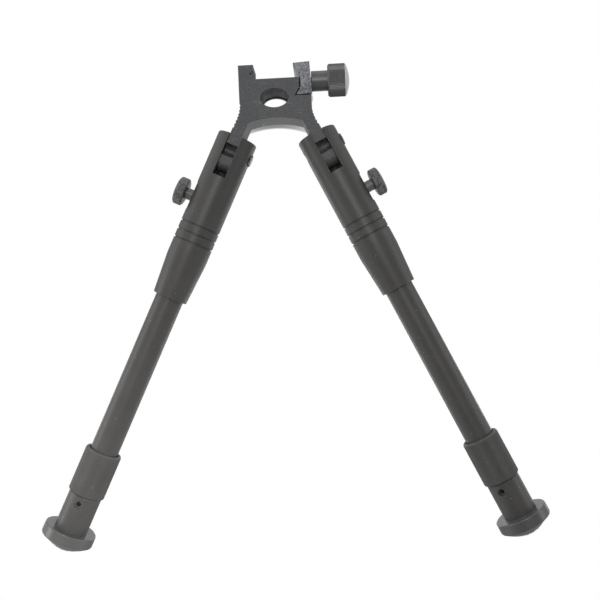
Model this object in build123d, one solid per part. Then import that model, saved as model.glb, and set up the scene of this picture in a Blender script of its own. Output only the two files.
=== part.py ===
from build123d import *

import math
import os

# Telescopic bipod with a screw clamp for a dovetail accessory rail. Lengths are in millimetres.
# The origin is the middle of the rail seat: +Z is up, +X is towards the clamp knob and -Y is the front.

# Rail that the clamp takes
rail_width = 21.2
rail_edge_height = 2.45

# Clamp body
body_depth = 15.0
body_width = 30.6
edge_break = 0.3
fixed_jaw_height = 6.3
jaw_lip = 1.85
ledge_drop = 7.9
waist_share = 0.53
arch_drop = 17.1
arch_rise = 1.85
arch_corner_radius = 1.0
hole_width = 12.2
hole_height = 8.2
hole_drop = 8.5

# Movable jaw
jaw_thickness = 4.6
jaw_height = 6.5
jaw_relief = 0.75
jaw_slack = 0.2
jaw_guide_gap = 0.4
jaw_hook_height = 3.2
jaw_hook_reach = 1.9
jaw_foot_gap = 0.4

# Clamp screw
screw_drop = 0.35
stud_diameter = 5.0
stud_end_gap = 0.8
stud_in_knob = 12.0
neck_diameter = 8.9
neck_length = 7.2
neck_gap = 0.1
knob_diameter = 14.3
knob_length = 9.6
knob_edge = 0.7
knob_crown = 1.3

# Leg hinge: a leg's own axis starts at its hinge pin and runs down the leg
leg_splay = 25.75
pin_spacing = 40.8
pin_drop = 30.4
pin_diameter = 5.0
pin_head_diameter = 5.4
pin_head_grip = 3.0
pin_head_proud = 0.7
pin_recess = 0.4
tongue_width = 5.4
tongue_end_radius = 9.5
notch_radius = 2.75

# Leg housing
housing_diameter = 17.9
housing_above_pin = 7.2
housing_length = 76.7
housing_top_round = 0.8
taper_length = 18.5
taper_end_diameter = 15.4
slot_width = 6.0
slot_below_pin = 12.0
groove_start = 35.5
groove_pitch = 3.9
groove_count = 3
groove_width = 0.7
groove_depth = 0.5

# Fold detent inside the housing
nose_diameter = 5.2
nose_rim_gap = 0.3
nose_hole_depth = 2.3
nose_hole_gap = 0.1
plunger_diameter = 8.0
plunger_gap = 0.1
plunger_shoulder_gap = 2.0
plunger_length = 11.7
pilot_diameter = 4.4
pilot_length = 3.0
spring_wire = 0.9
spring_diameter = 7.0
spring_length = 12.0
spring_turns = 6.5
spring_end_gap = 0.05
spring_seat_thickness = 1.5

# Lock screw in the side of the housing
lock_below_pin = 24.0
lock_face_diameter = 14.2
lock_face_offset = 8.2
lock_shank_diameter = 5.1
lock_wheel_diameter = 12.6
lock_wheel_thickness = 5.0
lock_wheel_gap = 2.9
lock_wheel_round = 1.3
pad_diameter = 4.0
pad_length = 1.65
pad_gap = 0.35
pad_stem_diameter = 2.0
pad_stem_length = 1.5

# Leg tube, twist lock and sliding rod
tube_diameter = 12.5
tube_bore = 9.4
tube_length = 113.5
collar_diameter = 16.3
collar_length = 20.8
collar_edge = 0.6
collar_mouth_diameter = 13.5
collar_mouth_depth = 2.0
collar_wall = 2.9
collar_hole_gap = 0.15
tube_in_collar = 11.6
collet_length = 5.7
collet_gap = 0.3
collet_slit = 0.8
collet_edge = 0.6
rod_diameter = 8.7
rod_bore = 6.3
rod_below_tube_top = 10.5
bush_length = 8.0
bush_seat_diameter = 7.6

# Foot
stem_diameter = 14.6
stem_length = 16.3
stem_gap = 0.3
stem_floor = 4.8
cross_hole_diameter = 3.2
cross_hole_below_collar = 3.6
cross_hole_turn_left = 0.0
cross_hole_turn_right = 30.0
roll_pin_wall = 0.6
roll_pin_slit = 0.7
roll_pin_recess = 1.0
spigot_diameter = 10.0
spigot_length = 5.0
foot_diameter = 23.2
foot_rim = 4.8
foot_crown = 5.2
foot_edge_round = 0.5

# Clearances: a running fit turns or slides, a close fit stays put
running_fit = 0.05
close_fit = 0.01
cut_margin = 2.0

# Heights and places of the head that several pieces share
screw_z = -screw_drop
jaw_wall = rail_width / 2 + jaw_relief + jaw_slack
jaw_face = jaw_wall + jaw_thickness
jaw_foot = ledge_drop - jaw_foot_gap
hook_top = jaw_foot - jaw_hook_height
lip_height = rail_edge_height + jaw_lip
seat_end = jaw_wall - jaw_slack - jaw_guide_gap
stud_hole = stud_diameter + 2 * running_fit
neck_start = jaw_face + neck_gap
knob_start = neck_start + neck_length
knob_end = knob_start + knob_length
stud_end = neck_start + stud_in_knob

# Places along a leg that several pieces share, counted down from its hinge pin
housing_top = -housing_above_pin
housing_end = housing_top + housing_length
nose_tip = tongue_end_radius + nose_rim_gap
plunger_stop = slot_below_pin + nose_hole_depth
plunger_shoulder = plunger_stop + plunger_shoulder_gap
plunger_back = plunger_shoulder + plunger_length
spring_floor = plunger_back + spring_length
tube_top = spring_floor + spring_seat_thickness
tube_end = tube_top + tube_length
collar_top = tube_end - tube_in_collar
collar_end = collar_top + collar_length
collar_floor = collar_end - collar_wall
collet_top = tube_end + collet_gap
rod_top = tube_top + rod_below_tube_top
stem_top = collar_end + stem_gap
stem_end = stem_top + stem_length
rod_end = stem_end - stem_floor
cross_hole = collar_end + cross_hole_below_collar
foot_rim_end = stem_end + foot_rim

# Bores and fits along a leg
plunger_bore = plunger_diameter + 2 * plunger_gap
nose_hole = nose_diameter + 2 * nose_hole_gap
tube_seat = tube_diameter + 2 * close_fit
collar_bore = tube_diameter + 2 * running_fit
collet_diameter = collar_bore - 2 * collar_hole_gap
collet_bore = rod_diameter + 2 * running_fit
collar_hole = rod_diameter + 2 * collar_hole_gap
bush_diameter = tube_bore - 2 * running_fit
rod_seat = rod_diameter + 2 * close_fit
lock_hole = lock_shank_diameter + 2 * running_fit
pad_face = plunger_diameter / 2 + pad_gap
pad_back = pad_face + pad_length
wheel_face = lock_face_offset + lock_wheel_gap

splay_sin = math.sin(math.radians(leg_splay))
splay_cos = math.cos(math.radians(leg_splay))


def turned(points):
    """A solid turned about Z from an outline of (radius, height) points."""
    return revolve(Plane.XZ * make_face(Polyline(*points, close=True)), Axis.Z)


def drill(diameter, start, end):
    """A round bar or cutter along Z from one height to another."""
    return Pos(0, 0, (start + end) / 2) * Cylinder(diameter / 2, end - start)


def along_x(part):
    """Lays a part that was made along Z down along X."""
    return Rot(0, 90, 0) * part


def crown_arc(rim_radius, rim_height, rise):
    """The arc of a round crown from its rim to the axis, in an outline of (radius, height)."""
    radius = (rim_radius**2 + rise**2) / (2 * rise)
    half_angle = math.asin(rim_radius / radius) / 2
    middle = (radius * math.sin(half_angle), rim_height + rise - radius * (1 - math.cos(half_angle)))
    return ThreePointArc((rim_radius, rim_height), middle, (0, rim_height + rise))


def break_outline(plate, across, joints=()):
    """Breaks the edges round the two faces of a plate, apart from those where another piece joins it."""
    faces = plate.faces().filter_by(across).sort_by(across)
    rims = faces[0].edges() + faces[-1].edges()
    for joint in joints:
        rims = rims.filter_by(lambda edge: not joint.contains(edge.center()))
    return chamfer(rims, edge_break)


def leg_point(side, outward, down):
    """A point of a leg's own frame in the front view, as (x, z)."""
    x = pin_spacing / 2 + down * splay_sin + outward * splay_cos
    z = -pin_drop - down * splay_cos + outward * splay_sin
    return (side * x, z)


def leg_frame(side):
    """A leg's own frame: Z runs down the leg from the hinge pin, X points outwards."""
    return Plane(
        origin=(side * pin_spacing / 2, 0, -pin_drop),
        x_dir=(side * splay_cos, 0, splay_sin),
        z_dir=(side * splay_sin, 0, -splay_cos),
    )


def on_leg(part, side):
    """Places a part that was made in the leg's own frame."""
    return leg_frame(side).location * part


def tongue():
    """The flat end of an arm that a leg folds on, with a detent notch in front, behind and below."""
    half = body_depth / 2
    shank = Pos(0, -tongue_end_radius / 2) * Rectangle(body_depth, tongue_end_radius)
    lower_half = Pos(0, tongue_end_radius / 2) * Rectangle(body_depth, tongue_end_radius)
    profile = shank + (Circle(tongue_end_radius) & lower_half)
    for across, down in ((-half, 0), (half, 0), (0, tongue_end_radius)):
        profile -= Pos(across, down) * Circle(notch_radius)
    profile -= Circle(pin_diameter / 2 + running_fit)
    plate = extrude(Plane.YZ * profile, tongue_width / 2, both=True)
    return break_outline(plate, Axis.X, [Plane.XY.offset(-tongue_end_radius)])


def clamp_body():
    """Fixed jaw, rail seat and the two arms, cut from one thick plate."""
    half = body_width / 2
    arm = tongue_width / 2
    rail_half = rail_width / 2
    lip = jaw_lip - rail_half
    undercut = seat_end - jaw_hook_reach / jaw_hook_height * (ledge_drop - hook_top)
    waist_down = (half - pin_spacing / 2 - arm * splay_cos) / splay_sin
    corner_down = (arch_drop + arch_rise - pin_drop - arm * splay_sin) / splay_cos
    waist_left, waist_right = (leg_point(side, arm, waist_down) for side in (-1, 1))
    waist_room = min(-ledge_drop - waist_right[1], -tongue_end_radius - waist_down)
    waist_radius = waist_share * waist_room / math.tan(math.radians(leg_splay / 2))
    corner_left, corner_right = (leg_point(side, -arm, corner_down) for side in (-1, 1))
    outline = Polyline(
        corner_left,
        leg_point(-1, -arm, -tongue_end_radius),
        leg_point(-1, arm, -tongue_end_radius),
        waist_left,
        (-half, fixed_jaw_height),
        (lip, fixed_jaw_height),
        (lip, lip_height),
        (-rail_half, rail_edge_height),
        (rail_edge_height - rail_half, 0),
        (seat_end, 0),
        (seat_end, -hook_top),
        (undercut, -ledge_drop),
        (half, -ledge_drop),
        waist_right,
        leg_point(1, arm, -tongue_end_radius),
        leg_point(1, -arm, -tongue_end_radius),
        corner_right,
    )
    arch = ThreePointArc(corner_right, (0, -arch_drop), corner_left)
    profile = make_face([*outline.edges(), arch])
    for places, radius in (
        ((waist_left, waist_right), waist_radius),
        ((corner_left, corner_right), arch_corner_radius),
    ):
        corners = [profile.vertices().sort_by_distance((x, z, 0))[0] for x, z in places]
        profile = fillet(corners, radius)
    profile -= Pos(0, -hole_drop) * Ellipse(hole_width / 2, hole_height / 2)
    plate = extrude(Plane.XZ * profile, body_depth / 2, both=True)
    body = break_outline(plate, Axis.Y, [leg_frame(side).offset(-tongue_end_radius) for side in (-1, 1)])
    for side in (-1, 1):
        body += on_leg(tongue(), side)
    return body - Pos(0, 0, screw_z) * along_x(drill(stud_hole, -half - cut_margin, half))


def clamp_jaw():
    """Movable jaw: a hook over the rail, a hook into the body's undercut and a hole for the stud."""
    lip = jaw_wall - jaw_relief - jaw_lip
    outline = Polyline(
        (lip, jaw_height),
        (jaw_face, jaw_height),
        (jaw_face, -jaw_foot),
        (jaw_wall - jaw_hook_reach, -jaw_foot),
        (jaw_wall, -hook_top),
        (jaw_wall, rail_edge_height - jaw_relief),
        (lip, lip_height),
        close=True,
    )
    jaw = break_outline(extrude(Plane.XZ * make_face(outline), body_depth / 2, both=True), Axis.Y)
    return jaw - Pos(0, 0, screw_z) * along_x(drill(stud_hole, 0, jaw_face + cut_margin))


def clamp_knob():
    """Knob and neck, turned in one piece, with a blind hole for the stud."""
    neck = neck_diameter / 2
    rim = knob_diameter / 2
    crown_start = knob_end - knob_crown
    side = Polyline(
        (0, neck_start),
        (neck, neck_start),
        (neck, knob_start),
        (rim - knob_edge, knob_start),
        (rim, knob_start + knob_edge),
        (rim, crown_start - knob_edge),
        (rim - knob_edge, crown_start),
    )
    crown = crown_arc(rim - knob_edge, crown_start, knob_crown)
    axis = Line((0, knob_end), (0, neck_start))
    knob = revolve(Plane.XZ * make_face([*side.edges(), crown, axis]), Axis.Z)
    knob -= drill(stud_diameter + 2 * close_fit, neck_start - cut_margin, stud_end)
    return Pos(0, 0, screw_z) * along_x(knob)


def clamp_stud():
    """Threaded stud, fixed in the knob; it crosses the rail seat and ends in the fixed jaw."""
    radius = stud_diameter / 2
    tip = stud_end_gap - body_width / 2
    stud = turned(
        [
            (0, tip),
            (radius - edge_break, tip),
            (radius, tip + edge_break),
            (radius, stud_end),
            (0, stud_end),
        ]
    )
    return Pos(0, 0, screw_z) * along_x(stud)


def leg_housing(head_side):
    """Turned and slotted housing with the hinge cheeks, the detent bore and the tube's seat."""
    radius = housing_diameter / 2
    end_radius = taper_end_diameter / 2
    outline = [(0, housing_top), (radius, housing_top)]
    for count in range(groove_count):
        groove = groove_start + count * groove_pitch
        outline.append((radius, groove - groove_width / 2))
        outline.append((radius - groove_depth, groove))
        outline.append((radius, groove + groove_width / 2))
    outline += [
        (radius, housing_end - taper_length),
        (end_radius, housing_end - edge_break),
        (end_radius - edge_break, housing_end),
        (0, housing_end),
    ]
    housing = turned(outline)
    top_edge = housing.edges().filter_by(GeomType.CIRCLE).sort_by(Axis.Z)[0]
    housing = fillet(top_edge, housing_top_round)
    slot_top = housing_top - cut_margin
    slot = Box(slot_width, housing_diameter + cut_margin, slot_below_pin - slot_top)
    housing -= Pos(0, 0, (slot_top + slot_below_pin) / 2) * slot
    housing -= drill(nose_hole, slot_below_pin - cut_margin, plunger_stop + cut_margin)
    housing -= drill(plunger_bore, plunger_stop, spring_floor + cut_margin)
    housing -= drill(tube_seat, spring_floor, housing_end + cut_margin)
    housing -= along_x(drill(pin_diameter + 2 * close_fit, -housing_diameter, housing_diameter))
    head_start = radius - pin_head_grip
    head_hole = drill(pin_head_diameter + 2 * close_fit, head_start, radius + cut_margin)
    housing -= Rot(0, 0, 90 - 90 * head_side) * along_x(head_hole)
    lock = drill(lock_hole, 0, housing_diameter)
    lock += drill(lock_face_diameter, lock_face_offset, housing_diameter)
    return housing - Pos(0, 0, lock_below_pin) * along_x(lock)


def hinge_pin(head_side):
    """Hinge pin, held by its knurled head in one cheek of the housing."""
    radius = pin_diameter / 2
    head = pin_head_diameter / 2
    tip = pin_recess - housing_diameter / 2
    head_start = housing_diameter / 2 - pin_head_grip
    head_end = housing_diameter / 2 + pin_head_proud
    pin = turned(
        [
            (0, tip),
            (radius - edge_break, tip),
            (radius, tip + edge_break),
            (radius, head_start),
            (head, head_start),
            (head, head_end - edge_break),
            (head - edge_break, head_end),
            (0, head_end),
        ]
    )
    return Rot(0, 0, 90 - 90 * head_side) * along_x(pin)


def detent_plunger():
    """Plunger whose round nose snaps into the notches of the tongue."""
    radius = plunger_diameter / 2
    nose = nose_diameter / 2
    pilot = pilot_diameter / 2
    pilot_end = plunger_back + pilot_length
    tip = ThreePointArc(
        (0, nose_tip),
        (nose * math.sin(math.pi / 4), nose_tip + nose * (1 - math.cos(math.pi / 4))),
        (nose, nose_tip + nose),
    )
    side = Polyline(
        (nose, nose_tip + nose),
        (nose, plunger_shoulder),
        (radius - edge_break, plunger_shoulder),
        (radius, plunger_shoulder + edge_break),
        (radius, plunger_back),
        (pilot, plunger_back),
        (pilot, pilot_end),
        (0, pilot_end),
        (0, nose_tip),
    )
    return revolve(Plane.XZ * make_face([tip, *side.edges()]), Axis.Z)


def detent_spring():
    """Compression spring behind the plunger, its turns built of tangent quarter arcs."""
    coil = (spring_diameter - spring_wire) / 2
    start = plunger_back + spring_end_gap + spring_wire / 2
    rise = spring_length - 2 * spring_end_gap - spring_wire
    quarters = round(4 * spring_turns)
    points = []
    for count in range(quarters + 1):
        angle = count * math.pi / 2
        points.append((coil * math.cos(angle), coil * math.sin(angle), start + rise * count / quarters))
    heading = Vector(0, coil * math.pi / 2, rise / quarters).normalized()
    arcs = []
    for begin, end in zip(points, points[1:]):
        arcs.append(TangentArc(begin, end, tangent=heading))
        heading = arcs[-1] % 1
    path = Wire(arcs)
    section = Plane(origin=points[0], z_dir=path % 0) * Circle(spring_wire / 2)
    return sweep(section, path=path)


def spring_seat():
    """Disc that the spring stands on, held between the housing's step and the top of the tube."""
    return drill(tube_diameter, spring_floor, tube_top)


def lock_screw():
    """Knurled thumbscrew that pinches the plunger through its brass pad."""
    shank = lock_shank_diameter / 2
    rim = lock_wheel_diameter / 2
    wheel_end = wheel_face + lock_wheel_thickness
    screw = turned(
        [
            (0, pad_back + running_fit),
            (shank - edge_break, pad_back + running_fit),
            (shank, pad_back + running_fit + edge_break),
            (shank, wheel_face),
            (rim, wheel_face),
            (rim, wheel_end),
            (0, wheel_end),
        ]
    )
    rims = screw.edges().filter_by(GeomType.CIRCLE).sort_by(SortBy.RADIUS)[-2:]
    screw = fillet(rims, lock_wheel_round)
    screw -= drill(pad_stem_diameter + 2 * running_fit, pad_back, pad_back + pad_stem_length + cut_margin)
    return Pos(0, 0, lock_below_pin) * along_x(screw)


def lock_pad():
    """Brass pad that turns freely in the tip of the lock screw."""
    pad = drill(pad_diameter, pad_face, pad_back)
    pad += drill(pad_stem_diameter, pad_face, pad_back + pad_stem_length)
    return Pos(0, 0, lock_below_pin) * along_x(pad)


def leg_tube():
    """Drawn tube, seated in the housing; the rod slides inside it."""
    return drill(tube_diameter, tube_top, tube_end) - drill(tube_bore, tube_top, tube_end)


def twist_collar():
    """Knurled collar: turning it presses the collet against the sliding rod."""
    radius = collar_diameter / 2
    collar = turned(
        [
            (0, collar_top),
            (radius - collar_edge, collar_top),
            (radius, collar_top + collar_edge),
            (radius, collar_end - collar_edge),
            (radius - collar_edge, collar_end),
            (0, collar_end),
        ]
    )
    collar -= drill(collar_mouth_diameter, collar_top, collar_top + collar_mouth_depth)
    collar -= drill(collar_bore, collar_top, collar_floor)
    return collar - drill(collar_hole, collar_top, collar_end)


def collet():
    """Split ring between the end of the tube and the floor of the collar."""
    outer = collet_diameter / 2
    inner = collet_bore / 2
    end = collet_top + collet_length
    ring = turned(
        [
            (inner, collet_top),
            (outer - collet_edge, collet_top),
            (outer, collet_top + collet_edge),
            (outer, end - collet_edge),
            (outer - collet_edge, end),
            (inner, end),
        ]
    )
    slit = Box(collet_diameter, collet_slit, collet_length)
    return ring - Pos(collet_diameter / 2, 0, (collet_top + end) / 2) * slit


def cross_bar(diameter, length, turn):
    """A round bar or cutter across the leg at the height of the foot's cross hole."""
    bar = Rot(90, 0, 0) * Cylinder(diameter / 2, length)
    return Pos(0, 0, cross_hole) * Rot(0, 0, turn) * bar


def extension_rod(turn):
    """Hollow rod that slides in the tube, stepped at its top for the guide bush."""
    rod = drill(bush_seat_diameter, rod_top, rod_top + bush_length)
    rod += drill(rod_diameter, rod_top + bush_length, rod_end)
    rod -= drill(rod_bore, rod_top, rod_end)
    return rod - cross_bar(cross_hole_diameter, stem_diameter + cut_margin, turn)


def guide_bush():
    """Bush that guides the top of the rod in the tube."""
    bore = bush_seat_diameter + 2 * close_fit
    return drill(bush_diameter, rod_top, rod_top + bush_length) - drill(bore, rod_top, rod_top + bush_length)


def foot_stem(turn):
    """Stem of the foot, pinned to the rod, with a spigot for the foot pad."""
    stem = turned(
        [
            (0, stem_top),
            (stem_diameter / 2 - edge_break, stem_top),
            (stem_diameter / 2, stem_top + edge_break),
            (stem_diameter / 2, stem_end),
            (spigot_diameter / 2, stem_end),
            (spigot_diameter / 2, stem_end + spigot_length),
            (0, stem_end + spigot_length),
        ]
    )
    stem -= drill(rod_seat, stem_top, rod_end)
    return stem - cross_bar(cross_hole_diameter, stem_diameter + cut_margin, turn)


def roll_pin(turn):
    """Slit spring pin through the stem and the rod, a little below the surface."""
    diameter = cross_hole_diameter - 2 * close_fit
    length = stem_diameter - 2 * roll_pin_recess
    pin = cross_bar(diameter, length, turn) - cross_bar(diameter - 2 * roll_pin_wall, length, turn)
    slit = Pos(0, 0, cross_hole - diameter / 2) * Rot(0, 0, turn) * Box(roll_pin_slit, length, diameter)
    return pin - slit


def foot_pad():
    """Domed foot, pressed on the spigot of the stem."""
    radius = foot_diameter / 2
    side = Polyline((0, stem_end), (radius, stem_end), (radius, foot_rim_end))
    crown = crown_arc(radius, foot_rim_end, foot_crown)
    axis = Line((0, foot_rim_end + foot_crown), (0, stem_end))
    pad = revolve(Plane.XZ * make_face([*side.edges(), crown, axis]), Axis.Z)
    rims = pad.edges().filter_by(GeomType.CIRCLE).sort_by(SortBy.RADIUS)[-2:]
    pad = fillet(rims, foot_edge_round)
    return pad - drill(spigot_diameter + 2 * close_fit, stem_end, stem_end + spigot_length)


pieces = {
    "clamp_body": clamp_body(),
    "clamp_jaw": clamp_jaw(),
    "clamp_knob": clamp_knob(),
    "clamp_stud": clamp_stud(),
}
for name, side, turn in (("left", -1, cross_hole_turn_left), ("right", 1, cross_hole_turn_right)):
    leg = {
        "leg_housing": leg_housing(side),
        "hinge_pin": hinge_pin(side),
        "detent_plunger": detent_plunger(),
        "detent_spring": detent_spring(),
        "spring_seat": spring_seat(),
        "lock_screw": lock_screw(),
        "lock_pad": lock_pad(),
        "leg_tube": leg_tube(),
        "twist_collar": twist_collar(),
        "collet": collet(),
        "extension_rod": extension_rod(turn),
        "guide_bush": guide_bush(),
        "foot_stem": foot_stem(turn),
        "roll_pin": roll_pin(turn),
        "foot_pad": foot_pad(),
    }
    for node, part in leg.items():
        pieces[name + "_" + node] = on_leg(part, side)

os.makedirs("parts", exist_ok=True)
for node, part in pieces.items():
    export_step(part, os.path.join("parts", node + ".step"))
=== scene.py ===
import math

import bmesh
import bpy
from mathutils import Matrix, Vector


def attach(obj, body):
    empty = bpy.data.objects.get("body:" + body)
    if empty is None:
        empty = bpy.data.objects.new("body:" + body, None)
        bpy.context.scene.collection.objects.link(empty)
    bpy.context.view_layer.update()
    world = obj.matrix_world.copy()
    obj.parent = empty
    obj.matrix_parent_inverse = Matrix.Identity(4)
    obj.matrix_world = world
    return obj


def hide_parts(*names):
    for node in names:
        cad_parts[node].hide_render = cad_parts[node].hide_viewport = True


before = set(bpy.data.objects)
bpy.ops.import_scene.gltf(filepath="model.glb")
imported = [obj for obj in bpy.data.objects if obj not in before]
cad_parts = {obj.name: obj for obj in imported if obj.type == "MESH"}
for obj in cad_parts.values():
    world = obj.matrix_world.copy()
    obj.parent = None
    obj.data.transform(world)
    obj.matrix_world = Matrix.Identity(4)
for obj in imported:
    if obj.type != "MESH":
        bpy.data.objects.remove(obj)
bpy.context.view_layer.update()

# Clamp body: one 15 mm aluminium plate, milled all round, blasted and anodised black.
# The cutter's passes still show on the waists; two arms end in tongues for the legs to hinge on.
# Shapes are drawn in millimetres, a leg's own along its axis from the hinge pin down.
mm = 0.001
splay = math.radians(25.75)
pin_x, pin_z = 20.4, -30.4
half_depth, arm = 7.5, 2.78
left_face, right_face = -15.3, 16.0
left_waist, right_waist, waist_round = -13.43, -14.88, 13.25
jaw_top, lip_x, lip_z, throat_x, throat_z = 6.3, -8.75, 4.3, -10.6, 2.45
seat_left, seat_right, undercut_x, undercut_z, ledge = -8.15, 10.95, 8.8125, -4.3, -7.9
arch_half, arch_foot, arch_top, arch_corner = 11.88, -18.95, -17.1, 1.0
arm_end, tongue_end = -9.5, 9.5
cutter_mark, broken_edge = 0.45, 0.1


def on_leg(side):
    """The way from a leg's own measures (outward, across, down) to the bipod's."""
    out = Vector((side * math.cos(splay), 0, math.sin(splay)))
    down = Vector((side * math.sin(splay), 0, -math.cos(splay)))
    turn = Matrix((out, down.cross(out), down)).transposed().to_4x4()
    return Matrix.Translation((side * pin_x, 0, pin_z)) @ turn


def arm_corner(side, outward):
    """A corner of an arm's end, in the plane of the plate."""
    place = on_leg(side) @ Vector((outward, 0, arm_end))
    return place.x, place.z


def at_arm_end(vert):
    """Whether a corner lies on the end of an arm, where its tongue goes on."""
    return any(abs((on_leg(side).inverted() @ vert.co).z - arm_end) < 1e-3 for side in (-1, 1))


def corner_at(bm, x, z):
    """The corner of an outline nearest to a place."""
    return min(bm.verts, key=lambda vert: math.hypot(vert.co.x - x, vert.co.z - z))


def round_corner(bm, corner, radius, steps):
    """Rounds a corner of an outline and gives the corners of the arc."""
    one, two = (edge.other_vert(corner).co - corner.co for edge in corner.link_edges)
    back = radius / math.tan(one.angle(two) / 2)
    return bmesh.ops.bevel(
        bm, geom=[corner], offset=back, offset_type="OFFSET", segments=steps, profile=0.5,
        affect="VERTICES", material=-1,
    )["verts"]


def scallop(bm, edges, depth):
    """Hollows an outline's edges as the passes of a milling cutter do."""
    for edge in edges:
        one, two = (vert.co.copy() for vert in edge.verts)
        middle, run = (one + two) / 2, two - one
        inward = Vector((-run.z, 0, run.x)).normalized()
        inward *= -math.copysign(1, inward.x * middle.x)
        for part in bmesh.ops.subdivide_edges(bm, edges=[edge], cuts=3)["geom_inner"]:
            if isinstance(part, bmesh.types.BMVert):
                part.co += inward * depth * (1 - (2 * (part.co - middle).length / run.length) ** 2)


def thicken(bm, along):
    """Draws a flat outline out into a solid."""
    grown = bmesh.ops.extrude_face_region(bm, geom=bm.faces[:])["geom"]
    verts = [part for part in grown if isinstance(part, bmesh.types.BMVert)]
    bmesh.ops.translate(bm, verts=verts, vec=along)
    bmesh.ops.recalc_face_normals(bm, faces=bm.faces[:])


def break_edges(bm, edges, width=broken_edge):
    """Breaks sharp edges with a small round."""
    bmesh.ops.bevel(
        bm, geom=edges, offset=width, offset_type="OFFSET", segments=2, profile=0.5,
        affect="EDGES", material=-1,
    )


clamp_body = bmesh.new()
fixed_jaw = [(left_face, jaw_top), (lip_x, jaw_top), (lip_x, lip_z), (throat_x, throat_z)]
seat = [(seat_left, 0), (seat_right, 0), (seat_right, undercut_z), (undercut_x, ledge), (right_face, ledge)]
corners = [(-arch_half, arch_foot), arm_corner(-1, -arm), arm_corner(-1, arm), (left_face, left_waist)]
corners += fixed_jaw + seat
corners += [(right_face, right_waist), arm_corner(1, arm), arm_corner(1, -arm), (arch_half, arch_foot)]
chain = [clamp_body.verts.new((x, -half_depth, z)) for x, z in corners]
for pair in zip(chain, chain[1:]):
    clamp_body.edges.new(pair)
arch_rise = arch_top - arch_foot
arch_radius = (arch_half**2 + arch_rise**2) / (2 * arch_rise)
bmesh.ops.spin(
    clamp_body, geom=[chain[-1]], cent=(0, -half_depth, arch_top - arch_radius), axis=(0, 1, 0),
    angle=-2 * math.asin(arch_half / arch_radius), steps=18,
)
bmesh.ops.remove_doubles(clamp_body, verts=clamp_body.verts[:], dist=0.01)
bmesh.ops.contextual_create(clamp_body, geom=clamp_body.edges[:])
for side, face_x, waist_z, cuts in ((-1, left_face, left_waist, 2), (1, right_face, right_waist, 1)):
    round_corner(clamp_body, corner_at(clamp_body, side * arch_half, arch_foot), arch_corner, steps=5)
    arc = round_corner(clamp_body, corner_at(clamp_body, face_x, waist_z), waist_round, steps=4)
    foot = corner_at(clamp_body, *arm_corner(side, arm))
    passes = [edge for edge in clamp_body.edges if all(vert in arc for vert in edge.verts)]
    arm_side = [edge for edge in foot.link_edges if edge.other_vert(foot) in arc]
    for part in bmesh.ops.subdivide_edges(clamp_body, edges=arm_side, cuts=cuts)["geom_split"]:
        if isinstance(part, bmesh.types.BMEdge) and foot not in part.verts:
            passes.append(part)
    scallop(clamp_body, passes, cutter_mark)
thicken(clamp_body, (0, 2 * half_depth, 0))
outer_edges = []
for edge in clamp_body.edges:
    one, two = edge.verts
    if abs(one.co.y - two.co.y) < 1e-4 and not (at_arm_end(one) and at_arm_end(two)):
        outer_edges.append(edge)
break_edges(clamp_body, outer_edges)


def turned(points, steps=64, rounds=()):
    """A shape turned about Z from (radius, height) points; rounds are (point, cut-back, steps)."""
    bm = bmesh.new()
    verts = [bm.verts.new((radius, 0, height)) for radius, height in points]
    for one, two in zip(verts, verts[1:] + verts[:1]):
        if one.co.x or two.co.x:
            bm.edges.new((one, two))
    for at, back, count in rounds:
        bmesh.ops.bevel(
            bm, geom=[verts[at]], offset=back, offset_type="OFFSET", segments=count, profile=0.5,
            affect="VERTICES", material=-1,
        )
    bmesh.ops.spin(
        bm, geom=bm.verts[:] + bm.edges[:], cent=(0, 0, 0), axis=(0, 0, 1), angle=2 * math.pi,
        steps=steps, use_merge=True,
    )
    bmesh.ops.remove_doubles(bm, verts=bm.verts[:], dist=1e-4)
    bmesh.ops.recalc_face_normals(bm, faces=bm.faces[:])
    return bm


def cutter(radius, start, end, flare=0.0, steps=48):
    """A round cutter along Z, flared at both ends where the hole's edges are broken."""
    wide = radius + 2 * flare
    points = [(0, start - flare), (wide, start - flare), (radius, start + flare)]
    points += [(radius, end - flare), (wide, end + flare), (0, end + flare)]
    return turned(points if flare else [(0, start), (radius, start), (radius, end), (0, end)], steps)


def cut(bm, tool, place=Matrix()):
    """Cuts a tool's shape, set in its place, out of a piece."""
    tool.transform(place)
    pieces = []
    for shape in (bm, tool):
        mesh = bpy.data.meshes.new("cutting")
        shape.to_mesh(mesh)
        pieces.append(bpy.data.objects.new("cutting", mesh))
        bpy.context.scene.collection.objects.link(pieces[-1])
    bite = pieces[0].modifiers.new("bite", "BOOLEAN")
    bite.operation, bite.solver, bite.object = "DIFFERENCE", "EXACT", pieces[1]
    result = pieces[0].evaluated_get(bpy.context.evaluated_depsgraph_get())
    bm.clear()
    bm.from_mesh(result.to_mesh())
    result.to_mesh_clear()
    tool.free()
    for piece in pieces:
        bpy.data.meshes.remove(piece.data)


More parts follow.
